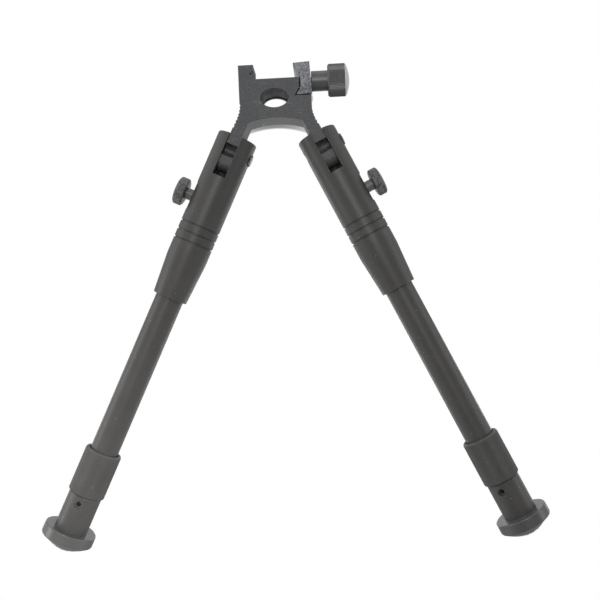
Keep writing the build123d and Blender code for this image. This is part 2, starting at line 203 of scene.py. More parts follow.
hole_wide, hole_high, hole_z, hole_flare = 6.1, 4.1, -8.5, 0.3
oval = bmesh.new()
bmesh.ops.create_circle(oval, segments=64, radius=1)
bmesh.ops.scale(oval, verts=oval.verts[:], vec=(hole_wide + hole_flare, hole_high + hole_flare, 1))
cap = bmesh.ops.contextual_create(oval, geom=oval.edges[:])["faces"]
straight = 2 * half_depth - hole_flare
for height, grow in ((hole_flare, -hole_flare), (straight, 0), (hole_flare, hole_flare)):
    inner_cap = [face for face in cap if len(oval.faces) > 1]
    grown = bmesh.ops.extrude_face_region(oval, geom=cap)["geom"]
    cap = [part for part in grown if isinstance(part, bmesh.types.BMFace)]
    bmesh.ops.delete(oval, geom=inner_cap, context="FACES_ONLY")
    loop = list({vert for face in cap for vert in face.verts})
    bmesh.ops.translate(oval, verts=loop, vec=(0, 0, height))
    wide = max(vert.co.x for vert in loop)
    high = max(vert.co.y for vert in loop)
    bmesh.ops.scale(oval, verts=loop, vec=((wide + grow) / wide, (high + grow) / high, 1))
bmesh.ops.recalc_face_normals(oval, faces=oval.faces[:])
upright = Matrix.Rotation(math.pi / 2, 4, "X")
cut(clamp_body, oval, Matrix.Translation((0, half_depth + hole_flare / 2, hole_z)) @ upright)
screw_z, screw_hole, screw_hole_flare = -0.35, 2.55, 0.2
sideways = Matrix.Rotation(math.pi / 2, 4, "Y")
along_screw = Matrix.Translation((0, 0, screw_z)) @ sideways
cut(clamp_body, cutter(screw_hole, left_face, right_face, screw_hole_flare), along_screw)


def join(bm, other):
    """Adds another shape to a piece."""
    mesh = bpy.data.meshes.new("joining")
    other.to_mesh(mesh)
    bm.from_mesh(mesh)
    bpy.data.meshes.remove(mesh)
    other.free()


def tongue(notch=2.75, pin_hole=2.55, flare=0.15):
    """A tongue at the end of an arm, notched in front, behind and below for the leg's detent."""
    bm = bmesh.new()
    start = bm.verts.new((-arm, -half_depth, arm_end))
    round_start = bm.verts.new((-arm, -half_depth, math.sqrt(tongue_end**2 - half_depth**2)))
    bm.edges.new((start, round_start))
    round_end = bmesh.ops.spin(
        bm, geom=[round_start], cent=(-arm, 0, 0), axis=(1, 0, 0),
        angle=-2 * math.asin(half_depth / tongue_end), steps=20,
    )["geom_last"][0]
    back = bm.verts.new((-arm, half_depth, arm_end))
    bm.edges.new((round_end, back))
    bm.edges.new((back, start))
    bmesh.ops.contextual_create(bm, geom=bm.edges[:])
    thicken(bm, (2 * arm, 0, 0))
    rim = []
    for edge in bm.edges:
        one, two = (vert.co for vert in edge.verts)
        if abs(one.x - two.x) < 1e-4 and max(one.z, two.z) > arm_end + 1e-4:
            rim.append(edge)
    break_edges(bm, rim)
    for radius, across, down in (
        (notch, -half_depth, 0), (notch, half_depth, 0), (notch, 0, tongue_end), (pin_hole, 0, 0)
    ):
        cut(bm, cutter(radius, -arm, arm, flare), Matrix.Translation((0, across, down)) @ sideways)
    return bm


for side in (-1, 1):
    ear = tongue()
    ear.transform(on_leg(side))
    join(clamp_body, ear)
ends = [face for face in clamp_body.faces if all(at_arm_end(vert) for vert in face.verts)]
bmesh.ops.delete(clamp_body, geom=ends, context="FACES_ONLY")
bmesh.ops.remove_doubles(clamp_body, verts=clamp_body.verts[:], dist=0.03)


def math_node(tree, operation, *values, clamp=False):
    """A Math node; a value is a number or another node's output."""
    node = tree.nodes.new("ShaderNodeMath")
    node.operation, node.use_clamp = operation, clamp
    for socket, value in zip(node.inputs, values):
        if isinstance(value, (int, float)):
            socket.default_value = value
        else:
            tree.links.new(value, socket)
    return node.outputs[0]


def noise_node(tree, vector, scale, detail):
    """A noise texture's grey value; the scale is a number or another node's output."""
    node = tree.nodes.new("ShaderNodeTexNoise")
    node.inputs["Detail"].default_value = detail
    tree.links.new(vector, node.inputs["Vector"])
    if isinstance(scale, (int, float)):
        node.inputs["Scale"].default_value = scale
    else:
        tree.links.new(scale, node.inputs["Scale"])
    return node.outputs[0]


def contrast(tree, value, gain, shift):
    """Makes a grey value steeper and keeps it between 0 and 1."""
    return math_node(tree, "MULTIPLY_ADD", value, gain, shift, clamp=True)


def mix_colours(tree, factor, one, two):
    """A Mix node for two colours; a colour is a tuple or another node's output."""
    node = tree.nodes.new("ShaderNodeMix")
    node.data_type = "RGBA"
    tree.links.new(factor, node.inputs[0])
    for socket, value in ((node.inputs[6], one), (node.inputs[7], two)):
        if isinstance(value, tuple):
            socket.default_value = (*value, 1)
        else:
            tree.links.new(value, socket)
    return node.outputs[2]


def new_group(name, inputs, outputs):
    """An empty shader node group; a place goes in as a vector, all else in and out as values."""
    tree = bpy.data.node_groups.new(name, "ShaderNodeTree")
    for label in inputs:
        kind = "NodeSocketVector" if label == "Place" else "NodeSocketFloat"
        tree.interface.new_socket(label, in_out="INPUT", socket_type=kind)
    for label in outputs:
        tree.interface.new_socket(label, in_out="OUTPUT", socket_type="NodeSocketFloat")
    return tree, tree.nodes.new("NodeGroupInput").outputs, tree.nodes.new("NodeGroupOutput").inputs


# Grain of a blasted and anodised surface, with cloudy tone and specks of dust.
clouds_per_mm, cloud_share, specks_per_mm = 0.11, 0.2, 0.7
blasted, given, gives = new_group(
    "blasted grain", ["Place", "Grain per mm", "Dust"], ["Tone", "Specks", "Height"]
)
fine = noise_node(blasted, given["Place"], given["Grain per mm"], 3)
cloud = noise_node(blasted, given["Place"], clouds_per_mm, 3)
tone = math_node(blasted, "MULTIPLY", cloud, cloud_share)
tone = math_node(blasted, "MULTIPLY_ADD", fine, 1 - cloud_share, tone)
blasted.links.new(contrast(blasted, tone, 3.6, -1.3), gives["Tone"])
spots = blasted.nodes.new("ShaderNodeTexVoronoi")
spots.inputs["Scale"].default_value = specks_per_mm
blasted.links.new(given["Place"], spots.inputs["Vector"])
dot = contrast(blasted, spots.outputs["Distance"], -9.0, 1.45)
chosen = blasted.nodes.new("ShaderNodeSeparateColor")
blasted.links.new(spots.outputs["Color"], chosen.inputs[0])
kept = math_node(blasted, "LESS_THAN", chosen.outputs[0], given["Dust"])
blasted.links.new(math_node(blasted, "MULTIPLY", dot, kept), gives["Specks"])
blasted.links.new(fine, gives["Height"])

# Wear that bares a little light metal along handled edges, in patches, and doubles as a painted highlight
# along the edges.
patches_per_mm = 0.55
worn_edges_and_highlights, given, gives = new_group("worn edges and painted highlights", ["Place", "Worn", "Amount"], ["Mask"])
patches = noise_node(worn_edges_and_highlights, given["Place"], patches_per_mm, 4)
patches = contrast(worn_edges_and_highlights, patches, 3.4, -1.2)
bared = math_node(worn_edges_and_highlights, "MULTIPLY", patches, contrast(worn_edges_and_highlights, given["Worn"], 1.6, -0.6))
worn_edges_and_highlights.links.new(math_node(worn_edges_and_highlights, "MULTIPLY", bared, given["Amount"], clamp=True), gives["Mask"])

# Fine light scratches, few and all about one way, as a piece gets in a bag.
scratch_lean, scratches_per_mm, areas_per_mm = math.radians(-42), (0.16, 0.2, 3.2), 0.13
scratched, given, gives = new_group("scratches", ["Place"], ["Mask"])
drawn_out = scratched.nodes.new("ShaderNodeMapping")
drawn_out.inputs["Rotation"].default_value = (0, scratch_lean, 0)
drawn_out.inputs["Scale"].default_value = scratches_per_mm
scratched.links.new(given["Place"], drawn_out.inputs["Vector"])
streak = noise_node(scratched, drawn_out.outputs[0], 1.0, 1)
streak = contrast(scratched, streak, 14, -8.7)
areas = contrast(scratched, noise_node(scratched, given["Place"], areas_per_mm, 2), 8, -4.1)
scratched.links.new(math_node(scratched, "MULTIPLY", streak, areas), gives["Mask"])


def anodised(
    name, dark, light, roughness, grain=5.0, dust=0.1, speck=(0.3, 0.3, 0.3), wear_and_highlight=0.5, bump=0.02,
    crevice_shade=0.0, scratches=False, shine=0.5,
):
    """Black anodised aluminium: grain and dust in its tone, light worn edges that are also a painted edge
    highlight, and painted shade in crevices.
    """
    bare_metal_and_highlight, scratch_grey, painted_shade_black = (0.17, 0.17, 0.172), (0.2, 0.2, 0.2), (0.006, 0.006, 0.006)
    rough_spread, bump_strength = 0.1, 0.5
    material = bpy.data.materials.new(name)
    material.use_nodes = True
    tree = material.node_tree
    shader = tree.nodes["Principled BSDF"]
    shader.inputs["Specular IOR Level"].default_value = shine

    def stored(attribute):
        node = tree.nodes.new("ShaderNodeAttribute")
        node.attribute_name = attribute
        return node.outputs

    place = stored("own")["Vector"]

    def effect(shared, **settings):
        node = tree.nodes.new("ShaderNodeGroup")
        node.node_tree = shared
        tree.links.new(place, node.inputs["Place"])
        for label, value in settings.items():
            node.inputs[label.replace("_", " ")].default_value = value
        return node

    surface = effect(blasted, Grain_per_mm=grain, Dust=dust)
    edges = effect(worn_edges_and_highlights, Amount=wear_and_highlight)
    tree.links.new(stored("worn")["Fac"], edges.inputs["Worn"])
    colour = mix_colours(tree, surface.outputs["Tone"], dark, light)
    colour = mix_colours(tree, surface.outputs["Specks"], colour, speck)
    if scratches:
        colour = mix_colours(tree, effect(scratched).outputs["Mask"], colour, scratch_grey)
    # Painted shade: faces that lie deep in a crevice are darkened towards black.
    if crevice_shade:
        depth = math_node(tree, "MULTIPLY", stored("sunk")["Fac"], crevice_shade)
        colour = mix_colours(tree, depth, colour, painted_shade_black)
    # Worn edges get light bare metal in patches, which also paints a highlight along the edges.
    colour = mix_colours(tree, edges.outputs["Mask"], colour, bare_metal_and_highlight)
    tree.links.new(colour, shader.inputs["Base Color"])
    least_rough = roughness - rough_spread / 2
    rough = math_node(tree, "MULTIPLY_ADD", surface.outputs["Tone"], rough_spread, least_rough)
    tree.links.new(rough, shader.inputs["Roughness"])
    relief = tree.nodes.new("ShaderNodeBump")
    relief.inputs["Strength"].default_value = bump_strength
    relief.inputs["Distance"].default_value = bump * mm
    tree.links.new(surface.outputs["Height"], relief.inputs["Height"])
    tree.links.new(relief.outputs["Normal"], shader.inputs["Normal"])
    return material


def finished(name, bm, place, body, material, node, smooth=35, others=(), where=None):
    """Places a shaped piece, shades it and lets it stand for its CAD node on its body.

    Where given, where() tells which of the other materials a face gets, counted from 1, or 0 for none.
    Small faces at a bend store how far they get worn, which also sets a painted edge highlight, or, in a
    crevice, how deep they lie, which sets painted shade.
    """
    small_area, narrow = 0.5, 0.4
    worn_from, worn_by, sunk_from, sunk_by = 14, 40, 10, 30
    bmesh.ops.remove_doubles(bm, verts=bm.verts[:], dist=5e-4)
    bmesh.ops.holes_fill(bm, edges=[edge for edge in bm.edges if edge.is_boundary], sides=0)
    bmesh.ops.recalc_face_normals(bm, faces=bm.faces[:])
    worn = bm.verts.layers.float.new("worn")
    sunk = bm.verts.layers.float.new("sunk")
    own = bm.verts.layers.float_vector.new("own")

    def is_small(face):
        strip = len(face.verts) == 4 and min(edge.calc_length() for edge in face.edges) < narrow
        return strip or face.calc_area() < small_area

    for vert in bm.verts:
        vert[own] = vert.co
        if all(is_small(face) for face in vert.link_faces):
            for edge in vert.link_edges:
                if edge.is_manifold:
                    bend = math.degrees(edge.calc_face_angle_signed(0))
                    vert[worn] = max(vert[worn], min(1, (bend - worn_from) / (worn_by - worn_from)))
                    vert[sunk] = max(vert[sunk], min(1, (-bend - sunk_from) / (sunk_by - sunk_from)))
    for face in bm.faces:
        face.material_index = int(where(face)) if where else 0
    bm.transform(Matrix.Scale(mm, 4) @ place)
    mesh = bpy.data.meshes.new(name)
    bm.to_mesh(mesh)
    bm.free()
    mesh.shade_smooth()
    mesh.set_sharp_from_angle(angle=math.radians(smooth))
    for finish in (material, *others):
        mesh.materials.append(finish)
    piece = bpy.data.objects.new(name, mesh)
    bpy.context.scene.collection.objects.link(piece)
    piece.modifiers.new("even shading", "WEIGHTED_NORMAL").keep_sharp = True
    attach(piece, body)
    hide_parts(node)


def tongue_part(face, reach=3.0, notch_margin=0.05, rim_margin=0.01):
    """Tells a face of a tongue's front or back notch (1), which gets painted shade, and of the end that the
    detent rubs, with its lower notch (2), which gets a lighter colour partly as painted light.
    """
    for side in (-1, 1):
        place = on_leg(side).inverted() @ face.calc_center_median()
        in_side_notch = math.hypot(abs(place.y) - half_depth, place.z) < reach
        in_lower_notch = math.hypot(place.y, place.z - tongue_end) < reach
        past_end = math.hypot(place.y, place.z) - tongue_end
        on_rim = place.z > tongue_end / 2 and -2 * broken_edge < past_end < broken_edge
        if in_side_notch and abs(place.x) < arm - notch_margin:
            return 1
        if (on_rim or in_lower_notch) and abs(place.x) < arm - rim_margin:
            return 2
    return 0


head_dark, head_light, head_grain = (0.0258, 0.0272, 0.0295), (0.0745, 0.077, 0.0815), 1.7
head_finish = anodised(
    "head_anodised", head_dark, head_light, 0.55, grain=head_grain, dust=0.25, speck=(0.2, 0.2, 0.2),
    wear_and_highlight=0.9, scratches=True,
)
# Painted shade: the tongues' front and back notches get a darker copy of the head's colour.
notch_painted_shade = anodised(
    "notch_black_painted_shade", (0.017, 0.0174, 0.0184), (0.032, 0.0326, 0.0345), 0.4, grain=head_grain, dust=0.05,
    wear_and_highlight=0.3, shine=0.3,
)
# The tongues' round ends and lower notches get a lighter colour, partly for the detent's rubbing, partly as
# painted light on these shaded faces.
rim_wear_and_painted_light = anodised(
    "tongue_rim_rubbed_and_painted_light", (0.075, 0.076, 0.078), (0.17, 0.172, 0.176), 0.5, grain=head_grain, dust=0.05,
    wear_and_highlight=0.3,
)
finished(
    "clamp_body_milled", clamp_body, Matrix(), "head", head_finish, "clamp_body",
    others=(notch_painted_shade, rim_wear_and_painted_light), where=tongue_part,
)

# Movable jaw: a short length of drawn bar of the clamp's hook section, sawn off and blasted.
# Its cut face is paler and more speckled than the body, and it slides on the ledge below.
# It hangs a little askew on its screw, as the slack in its hole lets it.
jaw_outside, jaw_high, jaw_low, jaw_edge = 16.15, 6.5, -7.5, 0.25
jaw_lip, jaw_throat_x, jaw_throat_z, jaw_heel, jaw_toe = 8.95, 11.55, 1.7, 11.3, 9.1
jaw_lean, jaw_middle, rail_gap = math.radians(-3.0), 13, 5
section = [(jaw_lip, jaw_high), (jaw_outside, jaw_high), (jaw_outside, jaw_low), (jaw_toe, jaw_low)]
section += [(jaw_heel, undercut_z), (jaw_throat_x, jaw_throat_z), (jaw_lip, lip_z)]
clamp_jaw = bmesh.new()
clamp_jaw.faces.new([clamp_jaw.verts.new((x, -half_depth, z)) for x, z in section])
thicken(clamp_jaw, (0, 2 * half_depth, 0))
break_edges(clamp_jaw, clamp_jaw.edges[:], jaw_edge)
cut(clamp_jaw, cutter(screw_hole, rail_gap, jaw_outside, screw_hole_flare), along_screw)
sawn_finish = anodised(
    "jaw_anodised", (0.03, 0.033, 0.041), (0.24, 0.248, 0.275), 0.5, grain=1.4, dust=0.7,
    speck=(0.42, 0.42, 0.44),
)
drawn_finish = anodised("jaw_drawn", head_dark, head_light, 0.28, grain=head_grain, wear_and_highlight=0.7)
lean_about = Matrix.Translation((jaw_middle, 0, screw_z))
finished(
    "clamp_jaw_sawn", clamp_jaw, lean_about @ Matrix.Rotation(jaw_lean, 4, "Y") @ lean_about.inverted(),
    "jaw", drawn_finish, "clamp_jaw",
    others=(sawn_finish,), where=lambda face: abs(face.normal.y) > 0.9,
)

# Clamp screw: a knob and neck turned from aluminium, straight-knurled and anodised black,
# on a blackened steel stud with a rolled thread that crosses the rail gap into the fixed jaw.
# The end of the knob is painted much lighter, as a painted reflection of the bright room in its smooth
# face.
def gear_edge(bm, lines, share, low, high):
    """Cuts a straight knurl into a turned rim: every second line of it is set in by a share."""
    for vert in bm.verts:
        line = round(math.atan2(vert.co.y, vert.co.x) / (math.pi / lines))
        if line % 2 and low - 1e-3 < vert.co.z < high + 1e-3:
            vert.co.x *= 1 - share
            vert.co.y *= 1 - share


def dome(rim, height, rise, steps, fall=2.0):
    """The outline of a crown from its rim to its top; a fall under 2 is nearer to a cone."""
    shares = [step / steps for step in range(steps, -1, -1)]
    return [(rim * share, height + rise * (1 - share**fall)) for share in shares]


neck, neck_start = 4.45, 16.25
knob_radius, knob_start, knob_end, knob_edge, knob_crown = 7.15, 23.45, 31.75, 0.7, 1.3
knurl_lines, knurl_depth, knob_round, reflection_from = 64, 0.25, 0.25, 31.3
barrel_start, barrel_end = knob_start + knob_edge, knob_end - knob_edge
face_radius = knob_radius - knob_edge
outline = [(0, neck_start), (neck, neck_start), (neck, knob_start), (face_radius, knob_start)]
outline += [(knob_radius, barrel_start), (knob_radius, barrel_end)]
face_edge = len(outline)
outline += dome(face_radius, knob_end, knob_crown, 6)
knob = turned(outline, 2 * knurl_lines, [(1, knob_round, 2), (face_edge, knob_round, 2)])
gear_edge(knob, knurl_lines, knurl_depth / knob_radius, barrel_start, barrel_end)
knob_finish = anodised(
    "knob_anodised", (0.067, 0.0665, 0.0665), (0.123, 0.122, 0.122), 0.36, dust=0.12, wear_and_highlight=0.35
)
# Painted reflection: the knob's end face gets a light colour.
end_painted_reflection = anodised(
    "knob_end_painted_reflection", (0.37, 0.366, 0.362), (0.59, 0.584, 0.578), 0.24, dust=0.05, wear_and_highlight=0.2
)
finished(
    "clamp_knob_turned", knob, along_screw, "clamp_screw", knob_finish, "clamp_knob",
    smooth=28, others=(end_painted_reflection,), where=lambda face: face.calc_center_median().z > reflection_from,
)

thread_root, thread_crest, thread_start, crest_start, crest_end = 1.7, 2.05, -14.0, 0.3, 0.5
pitch, per_turn, thread_turns = 0.8, 20, 52
core_radius, core_start, core_end, tip_radius, tip_length = 1.72, -14.5, 28, 1.3, 0.4
stud = bmesh.new()
profile = [(thread_root, 0), (thread_crest, crest_start), (thread_crest, crest_end), (thread_root, pitch)]
flank = [stud.verts.new((radius, 0, thread_start + rise)) for radius, rise in profile]
lines = [stud.edges.new(pair) for pair in zip(flank, flank[1:])]
bmesh.ops.spin(
    stud, geom=flank + lines, cent=(0, 0, 0), axis=(0, 0, 1), dvec=(0, 0, pitch / per_turn),
    angle=2 * math.pi * thread_turns, steps=per_turn * thread_turns,
)
bmesh.ops.remove_doubles(stud, verts=stud.verts[:], dist=1e-3)
outline = [(0, core_start), (tip_radius, core_start), (core_radius, core_start + tip_length)]
outline += [(core_radius, core_end), (0, core_end)]
join(stud, turned(outline, per_turn))
steel_finish = anodised(
    "black_steel", (0.02, 0.02, 0.022), (0.042, 0.042, 0.045), 0.36, dust=0.05, wear_and_highlight=0.5, bump=0.01
)
finished("clamp_stud_threaded", stud, along_screw, "clamp_screw", steel_finish, "clamp_stud")

# Leg housings: turned from aluminium bar, slotted for the tongue, with three decorative grooves
# and a taper to the tube; a flat spot-face on the outer side seats the lock screw.
# The slot's edges are broken by hand and rub light where the leg is handled; that light doubles as a
# painted edge highlight.
legs = (("left", -1), ("right", 1))
housing_radius, housing_top, top_round = 8.95, -7.2, 0.8
taper_start, taper_radius, housing_end, end_round = 51.0, 7.7, 69.5, 0.3
grooves, groove_radius, groove_half, groove_floor_half = (35.5, 39.4, 43.3), 8.45, 0.35, 0.2
tube_bore, tube_seat, spring_bore, spring_end, nose_bore, nose_bore_top = 6.26, 40, 4.1, 14.3, 2.84, 11
slot_half, slot_across, slot_top, slot_floor, slot_edge, near_bore = 2.88, 30, -10, 12, 0.15, 3.2
lock_drop, lock_face, lock_flat, lock_bore, pin_bore, outside = 24, 7.1, 8.2, 2.6, 2.52, 14
# Rings round the slot's floor and the spot-face, which keep the shading beside these cuts even.
even_rings = (11.2, 12.8, 16.5, 31.5)
leg_finish = anodised(
    "leg_anodised", (0.036, 0.0345, 0.033), (0.056, 0.054, 0.052), 0.45, dust=0.09, wear_and_highlight=1.0
)
lock_place = Matrix.Translation((0, 0, lock_drop)) @ sideways
for name, side in legs:
    outline = [(0, housing_top)] + [(housing_radius, down) for down in (housing_top, *even_rings)]
    for groove in grooves:
        outline += [(housing_radius, groove - groove_half), (groove_radius, groove - groove_floor_half)]
        outline += [(groove_radius, groove + groove_floor_half), (housing_radius, groove + groove_half)]
    outline += [(housing_radius, taper_start), (taper_radius, housing_end)]
    lower_edge = len(outline) - 1
    outline += [(tube_bore, housing_end), (tube_bore, tube_seat), (spring_bore, tube_seat)]
    outline += [(spring_bore, spring_end), (nose_bore, spring_end), (nose_bore, nose_bore_top)]
    outline += [(0, nose_bore_top)]
    housing = turned(outline, 64, [(1, top_round, 4), (lower_edge, end_round, 2)])
    cut(housing, cutter(pin_bore, -outside, outside), sideways)
    slot = bmesh.new()
    bmesh.ops.create_cube(slot, size=1)
    bmesh.ops.scale(slot, verts=slot.verts[:], vec=(2 * slot_half, slot_across, slot_floor - slot_top))
    cut(housing, slot, Matrix.Translation((0, 0, (slot_top + slot_floor) / 2)))
    slot_edges = []
    for edge in housing.edges:
        ends = [vert.co for vert in edge.verts]
        on_wall = all(abs(abs(end.x) - slot_half) < 1e-3 for end in ends)
        beside_bore = any(min(end.xy.length, end.yz.length) < near_bore for end in ends)
        if on_wall and not beside_bore and min(end.z for end in ends) < slot_floor + 0.01:
            if edge.calc_face_angle_signed(0) > 0.2:
                slot_edges.append(edge)
    break_edges(housing, slot_edges, slot_edge)
    cut(housing, cutter(lock_face, lock_flat, outside), lock_place)
    cut(housing, cutter(lock_bore, 0, outside), lock_place)
    finished(
        f"{name}_housing_turned", housing, on_leg(side), f"{name}_leg", leg_finish,
        f"{name}_leg_housing",
    )

# Hinge pins: turned steel, blackened, with a serrated head that keeps them from turning.
# Each is pressed through housing and tongue from the right until the serrations bite,
# so on both legs the head stands proud on the right, its end face bared by the press and lighter still as a
# painted reflection.
pin_radius, pin_tail, pin_round = 2.5, -8.55, 0.3
head_radius, head_start, head_top, light_end_from = 2.7, 5.95, 9.5, 9
serrations, serration_share = 20, 0.08
# The pin's end face is light, partly bared steel and partly a painted reflection; painted shade darkens its
# hollows.
bare_steel_and_reflection = anodised(
    "pin_end_bare_and_painted_reflection", (0.22, 0.22, 0.225), (0.42, 0.42, 0.425), 0.3, dust=0.05, wear_and_highlight=0.9, crevice_shade=0.9
)
for name, side in legs:
    outline = [(0, pin_tail), (pin_radius, pin_tail), (pin_radius, head_start), (head_radius, head_start)]
    outline += [(head_radius, head_top), (0, head_top)]
    pin = turned(outline, 2 * serrations, [(1, pin_round, 1), (4, pin_round, 2)])
    gear_edge(pin, serrations, serration_share, head_start, head_top)
    head_right = Matrix.Rotation(side * math.pi / 2, 4, "Y")
    finished(
        f"{name}_pin_serrated", pin, on_leg(side) @ head_right, f"{name}_leg", steel_finish,
        f"{name}_hinge_pin",
        others=(bare_steel_and_reflection,),
        where=lambda face: face.normal.z > 0.3 and face.calc_center_median().z > light_end_from,
    )

# Detent plungers: turned steel, blackened, with a nose crowned to a half round across the slot.
# A spring below pushes the nose into a notch of the tongue, and the lock screw holds it there.
nose_radius, nose_top, nose_foot, barrel_radius, barrel_foot = 2.8, 8.95, 16.3, 4.0, 28
stub_radius, stub_end, nose_rings = 2.2, 31, 4
crown, shoulder, shoulder_from = 0.142, 2.5, 2.0
nose_finish = anodised(
    "plunger_black", (0.02, 0.0199, 0.0197), (0.032, 0.0318, 0.0315), 0.6, dust=0.02, wear_and_highlight=0.0,
    bump=0.01, shine=0.2,
)
for name, side in legs:
    outline = [(nose_radius * ring / nose_rings, nose_top) for ring in range(nose_rings + 1)]
    outline += [(nose_radius, nose_foot), (barrel_radius, nose_foot), (barrel_radius, barrel_foot)]
    outline += [(stub_radius, barrel_foot), (stub_radius, stub_end), (0, stub_end)]
    plunger = turned(outline, 32)
    for vert in plunger.verts:
        if abs(vert.co.z - nose_top) < 1e-3:
            over = max(0, abs(vert.co.y) - shoulder_from)
            vert.co.z += crown * vert.co.y**2 + shoulder * over**2
    finished(
        f"{name}_plunger_nosed", plunger, on_leg(side), f"{name}_plunger", nose_finish,
        f"{name}_detent_plunger",
    )

# Lock screws: aluminium thumb wheels with a coarse diamond knurl and rounded rims, anodised black.
# Each is turned in one piece with its shank, which screws into the housing and presses a brass pad
# on the plunger.
def band(rim, low, high, rows):
    """The rings of a band that gets a knurl."""
    return [(rim, low + (high - low) * row / rows) for row in range(rows + 1)]


def diamonds(bm, rim, low, high, rows, lines, depth):
    """Presses a diamond knurl into a turned band whose rings and lines lie on the knurl's crossings."""
    deep = []
    for vert in bm.verts:
        on_rim = math.hypot(vert.co.x, vert.co.y) > rim - 1e-3
        if on_rim and low - 1e-3 < vert.co.z < high + 1e-3:
            line = round(math.atan2(vert.co.y, vert.co.x) / (math.pi / lines))
            row = round((vert.co.z - low) / (high - low) * rows)
            if (line + row) % 2:
                vert.co.x *= 1 - depth / rim
                vert.co.y *= 1 - depth / rim
                deep.append(vert)
    pressed = list({face for vert in deep for face in vert.link_faces})
    bmesh.ops.triangulate(bm, faces=pressed, quad_method="SHORT_EDGE")


shank, shank_start, crevice_width, wheel_start, wheel_end = 2.55, 6.05, 0.3, 11.6, 16.1
wheel_radius, band_start, band_end = 6.3, 12.45, 15.2
wheel_rows, wheel_lines, wheel_knurl = 5, 30, 0.42
rim_round = ((4.7, 0), (5.45, 0.15), (6.0, 0.5))
dimple_radius, dimple_floor, dimple_depth = 1.6, 1.2, 0.3
# Painted shade darkens the knurl's hollows, and the light worn crests double as painted highlights.
wheel_finish = anodised(
    "wheel_anodised", (0.09, 0.085, 0.079), (0.18, 0.171, 0.16), 0.4, dust=0.12, wear_and_highlight=1.6, crevice_shade=0.7
)
for name, side in legs:
    outline = [(0, shank_start), (shank, shank_start), (shank, wheel_start - crevice_width)]
    outline += [(shank, wheel_start)] + [(radius, wheel_start + inset) for radius, inset in rim_round]
    outline += band(wheel_radius, band_start, band_end, wheel_rows)
    outline += [(radius, wheel_end - inset) for radius, inset in reversed(rim_round)]
    outline += [(dimple_radius, wheel_end), (dimple_floor, wheel_end - dimple_depth)]
    outline += [(0, wheel_end - dimple_depth)]
    wheel = turned(outline, 2 * wheel_lines)
    diamonds(wheel, wheel_radius, band_start, band_end, wheel_rows, wheel_lines, wheel_knurl)
    finished(
        f"{name}_lock_wheel_knurled", wheel, on_leg(side) @ lock_place, f"{name}_lock_wheel",
        wheel_finish, f"{name}_lock_screw", smooth=20,
    )

# Leg tubes: drawn aluminium tube, cut square, deburred and anodised like the housings.
# Each is fixed in its housing above and carries the twist collar and the sliding rod below.
tube_radius, tube_inside, tube_top, tube_end, deburred = 6.25, 4.7, 41.5, 155, 0.3
for name, side in legs:
    outline = [(tube_inside, tube_top), (tube_radius, tube_top)]
    outline += [(tube_radius, tube_end), (tube_inside, tube_end)]
    tube = turned(outline, 64, [(1, deburred, 2), (2, deburred, 2)])
    finished(
        f"{name}_tube_drawn", tube, on_leg(side), f"{name}_leg", leg_finish,
        f"{name}_leg_tube",
    )

# Twist collars: turned from aluminium with a fine diamond knurl between bevelled ends.
# The mouth is countersunk round the tube, and a collet inside grips the sliding rod.
collar_radius, collar_bore, collar_floor, rod_hole = 8.15, 6.31, 161.3, 4.5
collar_end, end_radius, knurl_start, knurl_end = 164.2, 7.55, 144.5, 163.5
collar_rows, collar_lines, collar_knurl = 60, 80, 0.1
countersink = [(collar_bore, 146.5), (6.6, 145.6), (6.6, 143.75)]
mouth_round = [(6.8, 143.45), (7.3, 143.4), (7.75, 143.6), (8.02, 144.0)]
# Painted shade darkens the knurl's hollows.
collar_finish = anodised(
    "collar_anodised", (0.0425, 0.041, 0.0395), (0.072, 0.07, 0.0675), 0.5, dust=0.06, wear_and_highlight=0.0, crevice_shade=0.3
)
for name, side in legs:
    outline = countersink + mouth_round + band(collar_radius, knurl_start, knurl_end, collar_rows)
    outline += [(end_radius, collar_end), (rod_hole, collar_end)]
    outline += [(rod_hole, collar_floor), (collar_bore, collar_floor)]
    collar = turned(outline, 2 * collar_lines)
    diamonds(collar, collar_radius, knurl_start, knurl_end, collar_rows, collar_lines, collar_knurl)
    finished(
        f"{name}_collar_knurled", collar, on_leg(side), f"{name}_collar", collar_finish,
        f"{name}_twist_collar", smooth=20,
    )

# Foot stems: turned aluminium, anodised like the tubes, with a spigot below for the foot pad.
# Each is bored for the sliding rod and cross-drilled for the roll pin that holds it.
stem_radius, stem_top, stem_end, rod_bore, rod_bore_end = 7.3, 164.5, 180.8, 4.36, 176
spigot_radius, spigot_end, stem_round = 5.0, 185.8, 0.3
cross_hole, cross_hole_drop = 1.6, 167.8
cross_turn = {"left": 0, "right": math.radians(30)}
for name, side in legs:
    outline = [(rod_bore, stem_top), (stem_radius, stem_top), (stem_radius, stem_end)]
    outline += [(spigot_radius, stem_end), (spigot_radius, spigot_end), (0, spigot_end)]
    outline += [(0, rod_bore_end), (rod_bore, rod_bore_end)]
    stem = turned(outline, 72, [(1, stem_round, 2)])
    drill_way = Matrix.Rotation(cross_turn[name], 4, "Z") @ upright
    drill = cutter(cross_hole, -outside, outside, steps=32)
    cut(stem, drill, Matrix.Translation((0, 0, cross_hole_drop)) @ drill_way)
    finished(
        f"{name}_stem_turned", stem, on_leg(side), f"{name}_extension", leg_finish,
        f"{name}_foot_stem",
    )

